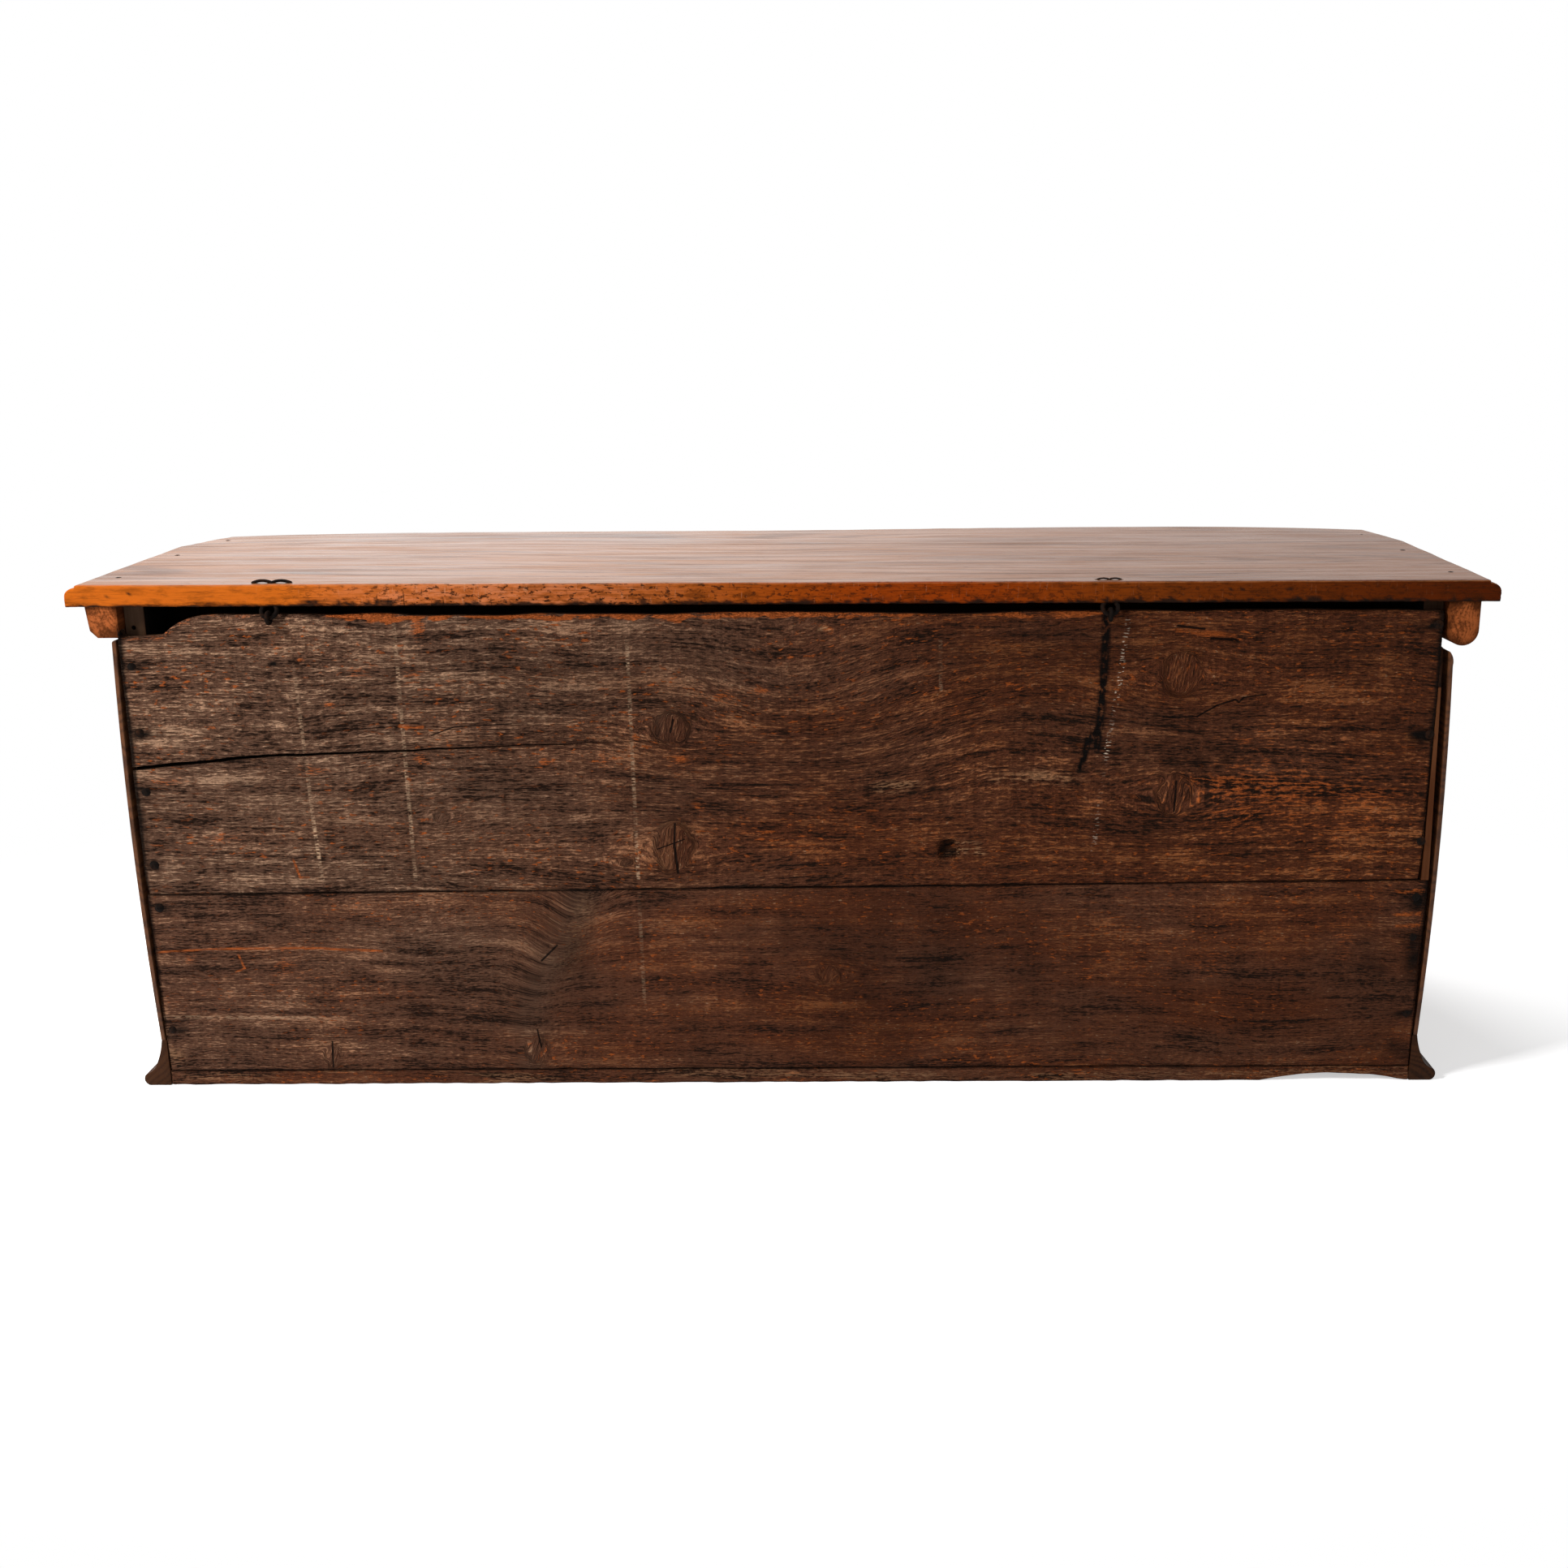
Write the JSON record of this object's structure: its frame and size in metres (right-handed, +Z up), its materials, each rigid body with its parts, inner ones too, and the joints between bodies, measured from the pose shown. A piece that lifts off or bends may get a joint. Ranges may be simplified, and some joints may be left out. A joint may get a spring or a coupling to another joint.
{
  "type": "mule chest",
  "caption": "Long low boarded chest: lift-up lid on linked wire hinges over a deep well, side-by-side drawers below, rough nailed back boards and a mitred base moulding.",
  "frame": {"origin": "on the floor, under the middle of the chest's whole outline", "axes": "+Z up, +X to the right of a person in front of the chest, front towards -Y, back towards +Y"},
  "size_m": [1.6, 0.5193, 0.6124],
  "materials": {
    "iron": "dull black wrought iron",
    "filler_wood": "paler unweathered wood",
    "weathered_back": "rough weathered brown wood",
    "weathered_back_dark": "rough weathered dark brown wood",
    "lid_walnut": "waxed orange brown walnut",
    "cleat_wood": "dull orange brown wood",
    "dark_walnut": "waxed dark walnut",
    "front_walnut": "waxed walnut",
    "knob_wood": "polished turned walnut",
    "inside_pine": "dry unfinished pine"
  },
  "bodies": {
    "chest": {"back_board_lower": "weathered_back_dark", "back_board_upper": "weathered_back", "back_filler_strip": "filler_wood", "back_nails": "iron", "base_moulding_front": "dark_walnut", "base_moulding_left": "dark_walnut", "base_moulding_right": "dark_walnut", "bottom_board": "weathered_back_dark", "bottom_nails": "iron", "drawer_partition": "inside_pine", "drawer_runner_left_inner": "inside_pine", "drawer_runner_left_outer": "inside_pine", "drawer_runner_right_inner": "inside_pine", "drawer_runner_right_outer": "inside_pine", "front_board": "front_walnut", "front_bottom_rail": "front_walnut", "front_muntin": "front_walnut", "front_nails": "iron", "front_stile_left": "front_walnut", "front_stile_right": "front_walnut", "hinge_back_eye_left": "iron", "hinge_back_eye_right": "iron", "side_board_left": "inside_pine", "side_board_right": "inside_pine", "side_facing_left": "dark_walnut", "side_facing_right": "dark_walnut", "well_floor": "inside_pine"},
    "lid": {"hinge_lid_eye_left": "iron", "hinge_lid_eye_right": "iron", "lid_board_back": "lid_walnut", "lid_board_front": "lid_walnut", "lid_cleat_left": "cleat_wood", "lid_cleat_nails": "iron", "lid_cleat_right": "cleat_wood"},
    "drawer_left": {"drawer_left_back": "inside_pine", "drawer_left_bottom": "inside_pine", "drawer_left_front": "front_walnut", "drawer_left_inner_side": "inside_pine", "drawer_left_knobs": "knob_wood", "drawer_left_outer_side": "inside_pine"},
    "drawer_right": {"drawer_right_back": "inside_pine", "drawer_right_bottom": "inside_pine", "drawer_right_front": "front_walnut", "drawer_right_inner_side": "inside_pine", "drawer_right_knobs": "knob_wood", "drawer_right_outer_side": "inside_pine"}
  },
  "joints": [
    {"name": "lid_hinge", "type": "hinge", "parent": "chest", "child": "lid", "pos_m": [0, 0.25135, 0.566], "axis": [-1, 0, 0], "range_deg": [0, 100]},
    {"name": "drawer_left_slide", "type": "slide", "parent": "chest", "child": "drawer_left", "axis": [0, -1, 0], "range_m": [0, 0.32]},
    {"name": "drawer_right_slide", "type": "slide", "parent": "chest", "child": "drawer_right", "axis": [0, -1, 0], "range_m": [0, 0.32]}
  ]
}
